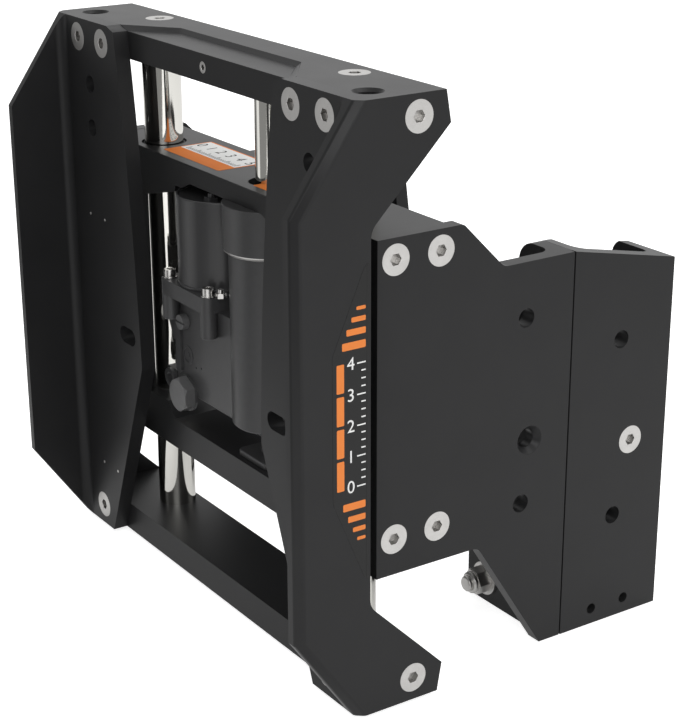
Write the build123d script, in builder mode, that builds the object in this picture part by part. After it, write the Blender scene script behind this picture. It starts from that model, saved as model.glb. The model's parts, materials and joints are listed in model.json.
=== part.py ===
from build123d import *
import os

os.makedirs("parts", exist_ok=True)

# Axes: +X starboard, +Y forward into the transom, +Z up
# Origin: on the transom face, midway between the two upper transom bolts

# Bolt pattern shared by the transom, the joint of the setback extensions and the engine
upper_bolt_x = 163.5
lower_bolt_x = 125.4
bolt_drop = 203.2
bolt_r = 6.35
bolt_hole_r = 7.15
slot_x = 117.0
slot_length = 27.0

# Flat-head socket screws
head_r = 11.5
socket_across_flats = 8.0
socket_depth = 5.0
screw_length = 32.0
shank_gap = 0.3
countersink_depth = (head_r - bolt_r) / 0.8693

# Lifting frame
setback = 304.8
plate_t = 12.7
frame_top = 228.0
frame_bottom = -221.3
frame_mid = (frame_top + frame_bottom) / 2
flange_front = -setback
flange_back = -setback + plate_t
wing_in = 208.3
wing_out = 221.0
wing_front = -354.8
wing_front_half = 153.0
wing_back = -230.0
wing_back_half = 202.0
wing_bevel = 5.4
recess_y = -294.2
recess_half = wing_back_half - wing_back + recess_y
flange_apex = (94.0, -49.6)
flange_bow = (102.0, 86.0)
flange_foot_x = 161.3
flange_head_x = 130.0
apex_r = 18.0
wing_root_r = 8.0
recess_r = 14.0
spare_beam_hole = (196.8, -280.1)
spare_beam_hole_r = 9.0
spare_beam_head_r = 11.2
top_screw_x = (140.6, 182.2)
bottom_screw_x = 178.9
top_screw_z = frame_top - 15.5
bottom_screw_z = frame_bottom + 18.0
engine_hole_z = 176.4
second_hole_z = engine_hole_z - 36.1
slot_z = engine_hole_z - bolt_drop
beam_t = 25.4
beam_back = -232.8
end_screw_y = -256.0
pocket_depth = 3.6
pocket_front_x = 118.3
pocket_back_x = 84.0
pocket_back_y = flange_back + 27.8
pocket_levels = (
    (frame_top - pocket_depth, pocket_front_x, pocket_back_x, pocket_back_y),
    (frame_top, flange_head_x, pocket_back_x + 3.0, pocket_back_y + 3.2),
)
plug_screw_z = frame_top - 14.0
plug_screw_r = 4.5
plug_screw_depth = 10.0
pin_places = ((149.0, 65.4), (175.0, 65.4), (148.0, -160.4), (174.0, -160.4))
pin_r = 1.25
pin_depth = 8.0
pin_proud = 0.3

# Guide rods and ram stand in one plane
rod_x = 139.5
rod_y = -251.6
rod_r = 15.875
rod_seat = 8.0
ram_x = 23.5
ram_rod_r = 9.525
ram_rod_seat = 12.0
rod_gap = 0.06
piston_gap = 0.1

# Fixed carriage
plate_out = 203.2
plate_in = plate_out - plate_t
block_front = -276.6
block_back = -210.8
upper_top = 127.0
upper_leg_z = 88.9
upper_arch_z = 111.9
lower_bottom = -125.6
lower_leg_z = -86.6
lower_mid_z = -99.1
upper_leg_x = 125.0
arch_knee = (79.0, 100.4)
arch_x = 54.0
lower_leg_x = 104.0
lower_mid_x = 91.5
bush_r = 18.5
bush_bore_r = rod_r + 0.05
wiper_h = 4.5
ram_wiper_r = 13.5
ram_hole_r = 15.0
wiper_seat = 5.2
wiper_gap = 0.3
wiper_lip = 1.5
upper_bush_h = upper_top - wiper_seat - upper_leg_z
lower_bush_h = lower_leg_z - lower_bottom - wiper_seat
bracket_back = -100.3
bracket_top = 90.1
bracket_bottom = -224.1
plate_top = upper_top + 0.2
shoulder_y = -203.5
shoulder_foot_y = -166.5
shoulder_r = 6.0
heel_y = -121.2
heel_top_y = -184.4
waist_r = 10.0
extension_top = 69.2
plate_screws = ((-261.2, 111.5), (-222.8, 111.5), (-261.2, -97.4), (-222.8, -97.4))
side_holes = ((-144.7, 47.5), (-144.7, -99.5))
spare_hole = (-138.1, -49.5)
extension_holes = ((-50.7, 12.5), (-50.7, -133.6))
drain_holes = ((-68.1, -210.9), (-34.4, -210.9))
tie_y = -36.0
tie_z = -72.9
tie_r = 12.7
root_r = 10.5
joint_top_x = 157.0
joint_top_r = 16.0
foot_top_x = 149.0
foot_top_z = extension_top + 4.4
foot_x = 102.0
foot_kink_z = -180.0
flange_corner = 14.0
joint_gap_w = 1.2
joint_gap_depth = 4.0
drain_r = 4.35
edge_break = 0.8

# Joint fasteners
washer_r = 14.0
washer_t = 2.4
hex_across_flats = 19.05
bolt_head_h = 8.0
nut_h = 11.5
nut_collar_h = 4.0
nut_collar_r = hex_across_flats / 2 - 0.6
nut_chamfer = 1.4
bolt_chamfer = 1.0
bolt_tip = 3.6

# Hydraulic unit
motor_x = -50.0
motor_r = 35.0
motor_bottom = 29.9
motor_top = 103.4
can_rim = 1.2
can_rim_h = 2.4
can_lip = 2.0
can_sink = 2.0
terminal_out = 19.0
terminal_w = 8.0
terminal_h = 4.5
stud_r = 2.4
stud_h = 7.5
relief_gap = 2.5
body_top = 16.9
column_bottom = -4.6
column_r = 6.8
cap_screw_reach = 30.8
cap_washer_r = 6.0
cap_washer_t = 1.0
cap_head_r = 4.8
cap_head_h = 6.0
cap_socket_r = 2.5
pump_bottom = -68.1
pump_front = -277.0
pump_back = -226.2
pump_side = -88.0
pump_corner = 7.0
pump_chamfer = 1.8
flange_half = cap_screw_reach + column_r
gusset_x = -96.0
gusset_z = -10.5
rib_place = (-77.0, -32.0)
rib_length = 40.0
rib_w = 8.0
rib_h = 2.5
plug_place = (-65.5, -66.6)
plug_boss_r = 15.2
plug_boss_h = 2.0
plug_half = 13.2
plug_h = 9.0
port_place = (-93.0, -61.1)
port_boss_r = 8.0
port_boss_depth = 14.0
port_boss_h = 3.0
port_r = 3.2
port_thread_r = 4.6
port_thread_depth = 6.0
port_depth = 12.0
mark_place = (-64.5, -33.5)
mark_r = 8.0
mark_h = 0.6
mark_line = 1.8
pin_marks = ((-51.9, -41.1), (-43.5, -39.1))
pin_mark_r = 0.9
pin_mark_depth = 0.8
release_place = (-66.8, -5.0)
release_r = 6.3
release_h = 6.0
driver_slot_w = 1.6
bleed_place = (-10.5, -276.0)
bleed_hex_r = 4.0
bleed_hex_h = 4.0
bleed_tip_r = 2.4
bleed_tip_h = 3.0
ram_tube_r = 31.5
ram_bore_r = 25.4
tube_floor = -63.1
ram_head_r = 36.0
ram_head_bottom = 72.9
head_chamfer = 3.0
gland_bottom = 76.4
piston_bottom = 4.4
piston_h = 10.0
clevis_low = -82.6
clevis_pin_z = -76.6
clevis_pin_r = 4.0
foot_eye_r = 7.5
foot_eye_w = 12.0
foot_t = 5.0
foot_length = 44.0
foot_width = 40.0
ear_gap = 13.0
ear_t = 11.0
ear_half = 24.0
ear_corner = 4.0
clevis_pin_half = 19.5


# Flat-head socket screw: head face at the origin, shank pointing down
with BuildPart() as flat_screw:
    with BuildSketch(Plane.XZ):
        with BuildLine():
            Polyline(
                (0, 0),
                (head_r, 0),
                (bolt_r, -countersink_depth),
                (bolt_r, 1 - screw_length),
                (bolt_r - 1, -screw_length),
                (0, -screw_length),
                close=True,
            )
        make_face()
    revolve(axis=Axis.Z)
    with BuildSketch():
        RegularPolygon(socket_across_flats / 2, 6, major_radius=False)
    extrude(amount=-socket_depth, mode=Mode.SUBTRACT)


# Side outline of the wings
with BuildSketch() as wing_outline:
    with BuildLine():
        Polyline(
            (flange_front, frame_top),
            (wing_front, frame_mid + wing_front_half),
            (wing_front, frame_mid - wing_front_half),
            (flange_front, frame_bottom),
            (wing_back - 4, frame_bottom),
            (wing_back, frame_mid - wing_back_half),
            (recess_y, frame_mid - recess_half),
            (recess_y, frame_mid + recess_half),
            (wing_back, frame_mid + wing_back_half),
            (wing_back - 4, frame_top),
            close=True,
        )
    make_face()
    fillet(wing_outline.vertices().filter_by_position(Axis.X, recess_y - 1, recess_y + 1), recess_r)

# Concave root between wing and flange, trimmed by the wing's own outline
with BuildPart() as wing_root:
    with BuildSketch(Plane.XY.offset(frame_bottom)):
        with BuildLine():
            Line((wing_in, flange_front - wing_root_r), (wing_in, flange_front))
            Line((wing_in, flange_front), (wing_in - wing_root_r, flange_front))
            CenterArc((wing_in - wing_root_r, flange_front - wing_root_r), wing_root_r, 0, 90)
        make_face()
    extrude(amount=frame_top - frame_bottom)
    with BuildSketch(Plane.YZ):
        add(wing_outline.sketch)
    extrude(amount=wing_out, mode=Mode.INTERSECT)

# Starboard side member: outer wing and chevron flange
with BuildPart() as starboard_side_member:
    with BuildSketch(Plane.YZ.offset(wing_in)):
        add(wing_outline.sketch)
    extrude(amount=plate_t)
    outer_edges = starboard_side_member.faces().sort_by(Axis.X)[-1].edges()
    chamfer(outer_edges.filter_by_position(Axis.Y, wing_front - 1, flange_front - 5), wing_bevel)
    with BuildSketch(Plane.XZ.offset(-flange_back)):
        with BuildLine():
            ThreePointArc((pocket_front_x, frame_top - pocket_depth), flange_bow, flange_apex)
            Polyline(
                flange_apex,
                (flange_foot_x, frame_bottom),
                (wing_in, frame_bottom),
                (wing_in, frame_top),
                (flange_head_x, frame_top),
                (pocket_front_x, frame_top - pocket_depth),
            )
        flange_face = make_face()
        fillet(flange_face.vertices().sort_by(Axis.X)[0], apex_r)
    extrude(amount=plate_t)
    add(wing_root.part)
    with Locations(Plane.XZ.offset(setback)):
        with Locations(
            (top_screw_x[0], top_screw_z),
            (top_screw_x[1], top_screw_z),
            (bottom_screw_x, bottom_screw_z),
        ):
            CounterSinkHole(bolt_r + shank_gap, head_r, depth=plate_t)
        with Locations((upper_bolt_x, engine_hole_z), (upper_bolt_x, second_hole_z)):
            Hole(bolt_hole_r, depth=plate_t)
        with Locations(*pin_places):
            Hole(pin_r, depth=pin_depth)
    with BuildSketch(Plane.XZ.offset(setback)):
        with Locations((slot_x, slot_z)):
            SlotOverall(slot_length, 2 * bolt_hole_r)
    extrude(amount=-plate_t, mode=Mode.SUBTRACT)
    with Locations(Plane.YZ.offset(wing_out)):
        with Locations((end_screw_y, top_screw_z), (end_screw_y, bottom_screw_z)):
            CounterSinkHole(bolt_r + shank_gap, head_r, depth=plate_t)
starboard_side_member.part.label = "starboard_side_member"
export_step(starboard_side_member.part, "parts/starboard_side_member.step")

with BuildPart() as port_side_member:
    mirror(starboard_side_member.part, about=Plane.YZ)
port_side_member.part.label = "port_side_member"
export_step(port_side_member.part, "parts/port_side_member.step")


# Top beam: starboard half first, with its threaded holes and rod seat, then mirrored
with BuildPart() as top_beam:
    with BuildSketch(Plane.YZ):
        with BuildLine():
            Polyline(
                (flange_back, frame_top),
                (beam_back - 1, frame_top),
                (beam_back, frame_top - beam_t),
                (flange_back, frame_top - beam_t),
                close=True,
            )
        make_face()
    extrude(amount=wing_in)
    for level_z, front_x, back_x, back_y in pocket_levels:
        with BuildSketch(Plane.XY.offset(level_z)):
            with BuildLine():
                Polyline(
                    (0, flange_back - 4),
                    (front_x + 4.5, flange_back - 4),
                    (back_x, back_y),
                    (0, back_y),
                    close=True,
                )
            make_face()
    loft(mode=Mode.SUBTRACT)
    with Locations(Plane.XY.offset(frame_top)):
        with Locations((rod_x, rod_y)):
            CounterSinkHole(bolt_r + shank_gap, head_r, depth=beam_t)
        with Locations(spare_beam_hole):
            CounterSinkHole(spare_beam_hole_r, spare_beam_head_r, depth=beam_t)
    with Locations((rod_x, rod_y, frame_top - beam_t)):
        Cylinder(rod_r, rod_seat, align=(Align.CENTER, Align.CENTER, Align.MIN), mode=Mode.SUBTRACT)
    with Locations(Plane.XZ.offset(-flange_back)):
        with Locations((top_screw_x[0], top_screw_z), (top_screw_x[1], top_screw_z)):
            Hole(bolt_r, depth=screw_length - plate_t)
    with Locations(Plane.YZ.offset(wing_in)):
        with Locations((end_screw_y, top_screw_z)):
            Hole(bolt_r, depth=screw_length - plate_t)
    mirror(about=Plane.YZ)
    with Locations((ram_x, rod_y, frame_top - beam_t)):
        Cylinder(ram_rod_r, ram_rod_seat, align=(Align.CENTER, Align.CENTER, Align.MIN), mode=Mode.SUBTRACT)
    with Locations(Plane.XZ.offset(-flange_back)):
        with Locations((0, plug_screw_z)):
            Hole(plug_screw_r, depth=plug_screw_depth)
top_beam.part.label = "top_beam"
export_step(top_beam.part, "parts/top_beam.step")

with BuildPart() as beam_plug:
    with Locations(Plane.XZ.offset(-flange_back)):
        with Locations((0, plug_screw_z)):
            Cylinder(plug_screw_r, plug_screw_depth, align=(Align.CENTER, Align.CENTER, Align.MAX))
    with BuildSketch(Plane.XZ.offset(-flange_back)):
        with Locations((0, plug_screw_z)):
            RegularPolygon(socket_across_flats / 4, 6, major_radius=False)
    extrude(amount=-socket_depth, mode=Mode.SUBTRACT)
beam_plug.part.label = "beam_plug"
export_step(beam_plug.part, "parts/beam_plug.step")

with BuildPart() as bottom_beam:
    with BuildSketch(Plane.YZ):
        with BuildLine():
            Polyline(
                (flange_back, frame_bottom),
                (beam_back - 1, frame_bottom),
                (beam_back, frame_bottom + beam_t),
                (flange_back, frame_bottom + beam_t),
                close=True,
            )
        make_face()
    extrude(amount=wing_in)
    with Locations(Plane(origin=(0, 0, frame_bottom), x_dir=(1, 0, 0), z_dir=(0, 0, -1))):
        with Locations((rod_x, -rod_y)):
            CounterSinkHole(bolt_r + shank_gap, head_r, depth=beam_t)
    with Locations((rod_x, rod_y, frame_bottom + beam_t)):
        Cylinder(rod_r, rod_seat, align=(Align.CENTER, Align.CENTER, Align.MAX), mode=Mode.SUBTRACT)
    with Locations(Plane.XZ.offset(-flange_back)):
        with Locations((bottom_screw_x, bottom_screw_z)):
            Hole(bolt_r, depth=screw_length - plate_t)
    with Locations(Plane.YZ.offset(wing_in)):
        with Locations((end_screw_y, bottom_screw_z)):
            Hole(bolt_r, depth=screw_length - plate_t)
    mirror(about=Plane.YZ)
bottom_beam.part.label = "bottom_beam"
export_step(bottom_beam.part, "parts/bottom_beam.step")


# Polished guide rods, seated in both beams and tapped at both ends
rod_low = frame_bottom + beam_t - rod_seat
rod_high = frame_top - beam_t + rod_seat
with BuildPart() as starboard_guide_rod:
    with Locations((rod_x, rod_y, rod_low)):
        Cylinder(rod_r, rod_high - rod_low, align=(Align.CENTER, Align.CENTER, Align.MIN))
    with Locations(Plane.XY.offset(rod_high)):
        with Locations((rod_x, rod_y)):
            Hole(bolt_r, depth=screw_length - beam_t + rod_seat)
    with Locations((rod_x, rod_y, rod_low)):
        Cylinder(
            bolt_r,
            screw_length - beam_t + rod_seat,
            align=(Align.CENTER, Align.CENTER, Align.MIN),
            mode=Mode.SUBTRACT,
        )
starboard_guide_rod.part.label = "starboard_guide_rod"
export_step(starboard_guide_rod.part, "parts/starboard_guide_rod.step")

with BuildPart() as port_guide_rod:
    mirror(starboard_guide_rod.part, about=Plane.YZ)
port_guide_rod.part.label = "port_guide_rod"
export_step(port_guide_rod.part, "parts/port_guide_rod.step")

# Screws that hold the guide rods
with BuildPart() as rod_screws_top:
    with Locations((rod_x, rod_y, frame_top), (-rod_x, rod_y, frame_top)):
        add(flat_screw.part)
rod_screws_top.part.label = "rod_screws_top"
export_step(rod_screws_top.part, "parts/rod_screws_top.step")

with BuildPart() as rod_screws_bottom:
    with Locations(Plane(origin=(0, 0, frame_bottom), x_dir=(1, 0, 0), z_dir=(0, 0, -1))):
        with Locations((rod_x, -rod_y), (-rod_x, -rod_y)):
            add(flat_screw.part)
rod_screws_bottom.part.label = "rod_screws_bottom"
export_step(rod_screws_bottom.part, "parts/rod_screws_bottom.step")

# Screws from the flanges into the beams
with BuildPart() as flange_screws_top:
    with Locations(Plane.XZ.offset(setback)):
        with Locations((top_screw_x[0], top_screw_z), (top_screw_x[1], top_screw_z)):
            add(flat_screw.part)
    mirror(about=Plane.YZ)
flange_screws_top.part.label = "flange_screws_top"
export_step(flange_screws_top.part, "parts/flange_screws_top.step")

with BuildPart() as flange_screws_bottom:
    with Locations(Plane.XZ.offset(setback)):
        with Locations((bottom_screw_x, bottom_screw_z)):
            add(flat_screw.part)
    mirror(about=Plane.YZ)
flange_screws_bottom.part.label = "flange_screws_bottom"
export_step(flange_screws_bottom.part, "parts/flange_screws_bottom.step")

# Screws from the wings into the beam ends
with BuildPart() as beam_end_screws:
    with Locations(Plane.YZ.offset(wing_out)):
        with Locations((end_screw_y, top_screw_z), (end_screw_y, bottom_screw_z)):
            add(flat_screw.part)
    mirror(about=Plane.YZ)
beam_end_screws.part.label = "beam_end_screws"
export_step(beam_end_screws.part, "parts/beam_end_screws.step")

with BuildPart() as locating_pins:
    with Locations(Plane.XZ.offset(setback + pin_proud)):
        with Locations(*pin_places):
            Cylinder(pin_r, pin_depth + pin_proud, align=(Align.CENTER, Align.CENTER, Align.MAX))
    mirror(about=Plane.YZ)
locating_pins.part.label = "locating_pins"
export_step(locating_pins.part, "parts/locating_pins.step")


# Ram rod hangs from the top beam and carries the piston inside the ram tube
with BuildPart() as ram_rod:
    with Locations((ram_x, rod_y, piston_bottom)):
        Cylinder(
            ram_rod_r,
            frame_top - beam_t + ram_rod_seat - piston_bottom,
            align=(Align.CENTER, Align.CENTER, Align.MIN),
        )
ram_rod.part.label = "ram_rod"
export_step(ram_rod.part, "parts/ram_rod.step")

with BuildPart() as ram_piston:
    with Locations((ram_x, rod_y, piston_bottom)):
        Cylinder(ram_bore_r - piston_gap, piston_h, align=(Align.CENTER, Align.CENTER, Align.MIN))
        Cylinder(ram_rod_r, piston_h, align=(Align.CENTER, Align.CENTER, Align.MIN), mode=Mode.SUBTRACT)
ram_piston.part.label = "ram_piston"
export_step(ram_piston.part, "parts/ram_piston.step")


# Upper block of the fixed carriage, bored for bushes and ram
with BuildPart() as upper_block:
    with BuildSketch(Plane.XZ.offset(-block_back)):
        with BuildLine():
            Polyline(
                (0, upper_top),
                (plate_in, upper_top),
                (plate_in, upper_leg_z),
                (upper_leg_x, upper_leg_z),
                arch_knee,
                (arch_x, upper_arch_z),
                (0, upper_arch_z),
                close=True,
            )
        make_face()
    extrude(amount=block_back - block_front)
    chamfer(upper_block.faces().sort_by(Axis.Z)[-1].edges().filter_by(Axis.X), edge_break)
    with Locations(Plane.XY.offset(upper_top)):
        with Locations((rod_x, rod_y)):
            Hole(bush_r)
    with Locations(Plane.YZ.offset(plate_in)):
        with Locations(*plate_screws[:2]):
            Hole(bolt_r, depth=screw_length - plate_t)
    mirror(about=Plane.YZ)
    with Locations(Plane.XY.offset(upper_top)):
        with Locations((ram_x, rod_y)):
            Hole(ram_hole_r)
    with Locations((motor_x, rod_y, upper_leg_z)):
        Cylinder(
            motor_r + relief_gap,
            motor_top + relief_gap - upper_leg_z,
            align=(Align.CENTER, Align.CENTER, Align.MIN),
            mode=Mode.SUBTRACT,
        )
    with Locations((ram_x, rod_y, upper_arch_z)):
        Cylinder(
            ram_head_r,
            upper_arch_z - upper_leg_z,
            align=(Align.CENTER, Align.CENTER, Align.MAX),
            mode=Mode.SUBTRACT,
        )
upper_block.part.label = "upper_block"
export_step(upper_block.part, "parts/upper_block.step")

with BuildPart() as lower_block:
    with BuildSketch(Plane.XZ.offset(-block_back)):
        with BuildLine():
            Polyline(
                (0, lower_bottom),
                (plate_in, lower_bottom),
                (plate_in, lower_leg_z),
                (lower_leg_x, lower_leg_z),
                (lower_mid_x, lower_mid_z),
                (0, lower_mid_z),
                close=True,
            )
        make_face()
    extrude(amount=block_back - block_front)
    chamfer(lower_block.faces().sort_by(Axis.Z)[0].edges().filter_by(Axis.X), edge_break)
    with Locations(Plane.XY.offset(lower_leg_z)):
        with Locations((rod_x, rod_y)):
            Hole(bush_r)
    with Locations(Plane.YZ.offset(plate_in)):
        with Locations(*plate_screws[2:]):
            Hole(bolt_r, depth=screw_length - plate_t)
    mirror(about=Plane.YZ)
lower_block.part.label = "lower_block"
export_step(lower_block.part, "parts/lower_block.step")

# Guide bushes, sunk below the outer faces so that the wipers have a seat
with BuildPart() as upper_bushes:
    with Locations((rod_x, rod_y, upper_leg_z), (-rod_x, rod_y, upper_leg_z)):
        Cylinder(bush_r, upper_bush_h, align=(Align.CENTER, Align.CENTER, Align.MIN))
        Cylinder(
            bush_bore_r,
            upper_bush_h,
            align=(Align.CENTER, Align.CENTER, Align.MIN),
            mode=Mode.SUBTRACT,
        )
upper_bushes.part.label = "upper_bushes"
export_step(upper_bushes.part, "parts/upper_bushes.step")

with BuildPart() as lower_bushes:
    with Locations((rod_x, rod_y, lower_bottom + wiper_seat), (-rod_x, rod_y, lower_bottom + wiper_seat)):
        Cylinder(bush_r, lower_bush_h, align=(Align.CENTER, Align.CENTER, Align.MIN))
        Cylinder(
            bush_bore_r,
            lower_bush_h,
            align=(Align.CENTER, Align.CENTER, Align.MIN),
            mode=Mode.SUBTRACT,
        )
lower_bushes.part.label = "lower_bushes"
export_step(lower_bushes.part, "parts/lower_bushes.step")


# Wiper ring section at the origin: flat foot, bevelled lip
with BuildPart() as rod_wiper:
    with BuildSketch(Plane.XZ):
        with BuildLine():
            Polyline(
                (rod_r + wiper_gap, 0),
                (bush_r, 0),
                (bush_r, wiper_h - wiper_lip),
                (bush_r - wiper_lip, wiper_h),
                (rod_r + wiper_gap, wiper_h),
                close=True,
            )
        make_face()
    revolve(axis=Axis.Z)

with BuildPart() as upper_wipers:
    with Locations((rod_x, rod_y, upper_top - wiper_seat), (-rod_x, rod_y, upper_top - wiper_seat)):
        add(rod_wiper.part)
upper_wipers.part.label = "upper_wipers"
export_step(upper_wipers.part, "parts/upper_wipers.step")

with BuildPart() as lower_wipers:
    with Locations(Plane(origin=(0, 0, lower_bottom + wiper_seat), x_dir=(1, 0, 0), z_dir=(0, 0, -1))):
        with Locations((rod_x, -rod_y), (-rod_x, -rod_y)):
            add(rod_wiper.part)
lower_wipers.part.label = "lower_wipers"
export_step(lower_wipers.part, "parts/lower_wipers.step")

with BuildPart() as ram_wiper:
    with Locations((ram_x, rod_y, upper_arch_z)):
        Cylinder(ram_wiper_r, wiper_h, align=(Align.CENTER, Align.CENTER, Align.MIN))
        Cylinder(
            ram_rod_r + wiper_gap,
            wiper_h,
            align=(Align.CENTER, Align.CENTER, Align.MIN),
            mode=Mode.SUBTRACT,
        )
    chamfer(ram_wiper.edges().group_by(Axis.Z)[-1].sort_by(SortBy.RADIUS)[-1], wiper_lip)
ram_wiper.part.label = "ram_wiper"
export_step(ram_wiper.part, "parts/ram_wiper.step")


# Front outline of the flanges that bolt together at the setback joint
with BuildSketch() as joint_outline:
    with BuildLine():
        Polyline(
            (plate_out, bracket_top),
            (joint_top_x, bracket_top),
            (foot_x, foot_kink_z),
            (foot_x, bracket_bottom),
            (plate_out, bracket_bottom),
            close=True,
        )
    make_face()
    fillet(joint_outline.vertices().group_by(Axis.Y)[0].sort_by(Axis.X)[0], flange_corner)
    fillet(joint_outline.vertices().group_by(Axis.Y)[-1].sort_by(Axis.X)[0], joint_top_r)

# Outline of the foot that rests on the transom, lower at the top
with BuildSketch() as foot_outline:
    with BuildLine():
        Polyline(
            (plate_out, foot_top_z),
            (foot_top_x, foot_top_z),
            (foot_x, foot_kink_z),
            (foot_x, bracket_bottom),
            (plate_out, bracket_bottom),
            close=True,
        )
    make_face()
    fillet(foot_outline.vertices().group_by(Axis.Y)[0].sort_by(Axis.X)[0], flange_corner)
    fillet(foot_outline.vertices().group_by(Axis.Y)[-1].sort_by(Axis.X)[0], flange_corner)

# Narrow gap that shows outside where a side plate meets its extension
with BuildPart() as joint_gap:
    with BuildSketch(Plane.XY.offset(bracket_bottom)):
        with Locations((plate_out, bracket_back)):
            Rectangle(2 * joint_gap_depth, joint_gap_w)
    extrude(amount=bracket_top - bracket_bottom)

# Starboard side plate: web along the carriage, bolting flange at the back
with BuildPart() as starboard_side_plate:
    with BuildSketch(Plane.YZ.offset(plate_in)) as plate_outline:
        with BuildLine():
            Polyline(
                (block_front, plate_top),
                (shoulder_y, plate_top),
                (shoulder_foot_y, bracket_top),
                (bracket_back, bracket_top),
                (bracket_back, bracket_bottom),
                (heel_y, bracket_bottom),
                (heel_top_y, lower_bottom),
                (block_front, lower_bottom),
                close=True,
            )
        make_face()
        waist_corners = plate_outline.vertices().filter_by_position(Axis.X, heel_top_y - 1, shoulder_foot_y + 1)
        fillet(waist_corners, waist_r)
        shoulder_corner = plate_outline.vertices().filter_by_position(Axis.X, shoulder_y - 1, shoulder_y + 1)
        fillet(shoulder_corner, shoulder_r)
    extrude(amount=plate_t)
    with BuildSketch(Plane.XZ.offset(-bracket_back)):
        add(joint_outline.sketch)
    extrude(amount=plate_t)
    root_edge = starboard_side_plate.edges().filter_by(Axis.Z)
    root_edge = root_edge.filter_by_position(Axis.X, plate_in - 0.1, plate_in + 0.1)
    fillet(root_edge.sort_by(SortBy.LENGTH)[-1], root_r)
    add(joint_gap.part, mode=Mode.SUBTRACT)
    with Locations(Plane.YZ.offset(plate_out)):
        with Locations(*plate_screws):
            CounterSinkHole(bolt_r + shank_gap, head_r, depth=plate_t)
        with Locations(*side_holes):
            Hole(bolt_hole_r, depth=plate_t)
        with Locations(spare_hole):
            CounterSinkHole(bolt_hole_r, head_r, depth=plate_t)
    with Locations(Plane.XZ.offset(-bracket_back)):
        with Locations((upper_bolt_x, 0), (lower_bolt_x, -bolt_drop)):
            Cylinder(
                bolt_hole_r,
                plate_t,
                align=(Align.CENTER, Align.CENTER, Align.MIN),
                mode=Mode.SUBTRACT,
            )
starboard_side_plate.part.label = "starboard_side_plate"
export_step(starboard_side_plate.part, "parts/starboard_side_plate.step")

with BuildPart() as port_side_plate:
    mirror(starboard_side_plate.part, about=Plane.YZ)
port_side_plate.part.label = "port_side_plate"
export_step(port_side_plate.part, "parts/port_side_plate.step")

with BuildPart() as plate_screw_set:
    with Locations(Plane.YZ.offset(plate_out)):
        with Locations(*plate_screws):
            add(flat_screw.part)
    mirror(about=Plane.YZ)
plate_screw_set.part.label = "plate_screws"
export_step(plate_screw_set.part, "parts/plate_screws.step")


# Starboard extension: channel section between the joint and the transom, its top sloped down
with BuildSketch() as extension_side:
    with BuildLine():
        Polyline(
            (bracket_back, bracket_top),
            (0, extension_top),
            (0, bracket_bottom),
            (bracket_back, bracket_bottom),
            close=True,
        )
    make_face()

with BuildPart() as starboard_extension:
    with BuildSketch(Plane.YZ.offset(plate_in)):
        add(extension_side.sketch)
    extrude(amount=plate_t)
    with BuildSketch(Plane.XZ.offset(-bracket_back - plate_t)):
        add(joint_outline.sketch)
    extrude(amount=plate_t)
    with BuildSketch(Plane.XZ):
        add(foot_outline.sketch)
    extrude(amount=plate_t)
    inner_edges = starboard_extension.edges().filter_by(Axis.Z)
    inner_edges = inner_edges.filter_by_position(Axis.X, plate_in - 0.1, plate_in + 0.1)
    fillet(inner_edges.filter_by_position(Axis.Y, bracket_back + 5, -5), root_r)
    with BuildSketch(Plane.YZ):
        add(extension_side.sketch)
    extrude(amount=plate_out, mode=Mode.INTERSECT)
    add(joint_gap.part, mode=Mode.SUBTRACT)
    with Locations(Plane.YZ.offset(plate_out)):
        with Locations((tie_y, tie_z)):
            CounterSinkHole(bolt_r + shank_gap, head_r, depth=plate_t)
        with Locations(*extension_holes):
            Hole(bolt_hole_r, depth=plate_t)
        with Locations(*drain_holes):
            Hole(drain_r, depth=plate_t)
    with Locations(Plane.XZ):
        with Locations((upper_bolt_x, 0)):
            Hole(bolt_hole_r)
    with BuildSketch(Plane.XZ):
        with Locations((lower_bolt_x, -bolt_drop)):
            SlotOverall(slot_length, 2 * bolt_hole_r)
    extrude(amount=plate_t, mode=Mode.SUBTRACT)
    with Locations(Plane.XZ.offset(-bracket_back - plate_t)):
        with Locations((lower_bolt_x, -bolt_drop)):
            Hole(bolt_hole_r, depth=plate_t)
starboard_extension.part.label = "starboard_extension"
export_step(starboard_extension.part, "parts/starboard_extension.step")

with BuildPart() as port_extension:
    mirror(starboard_extension.part, about=Plane.YZ)
port_extension.part.label = "port_extension"
export_step(port_extension.part, "parts/port_extension.step")


# Joint fasteners: bolt heads inside the channels, nuts toward the engine
joint_places = (
    (upper_bolt_x, 0),
    (-upper_bolt_x, 0),
    (lower_bolt_x, -bolt_drop),
    (-lower_bolt_x, -bolt_drop),
)
channel_y = bracket_back + plate_t
nut_face_y = bracket_back - plate_t - washer_t

with BuildPart() as joint_bolts:
    with BuildSketch(Plane.XZ.offset(-channel_y - washer_t)):
        with Locations(*joint_places):
            RegularPolygon(hex_across_flats / 2, 6, major_radius=False)
    extrude(amount=-bolt_head_h)
    with BuildSketch(Plane.XZ.offset(-channel_y - washer_t)):
        with Locations(*joint_places):
            Circle(bolt_r)
    extrude(amount=channel_y + washer_t - nut_face_y + nut_h + nut_collar_h + bolt_tip)
    chamfer(joint_bolts.faces().sort_by(Axis.Y)[:4].edges(), bolt_chamfer)
joint_bolts.part.label = "joint_bolts"
export_step(joint_bolts.part, "parts/joint_bolts.step")

with BuildPart() as joint_washers:
    for washer_y in (channel_y + washer_t, nut_face_y + washer_t):
        with BuildSketch(Plane.XZ.offset(-washer_y)):
            with Locations(*joint_places):
                Circle(washer_r)
                Circle(bolt_r, mode=Mode.SUBTRACT)
        extrude(amount=washer_t)
joint_washers.part.label = "joint_washers"
export_step(joint_washers.part, "parts/joint_washers.step")

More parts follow.
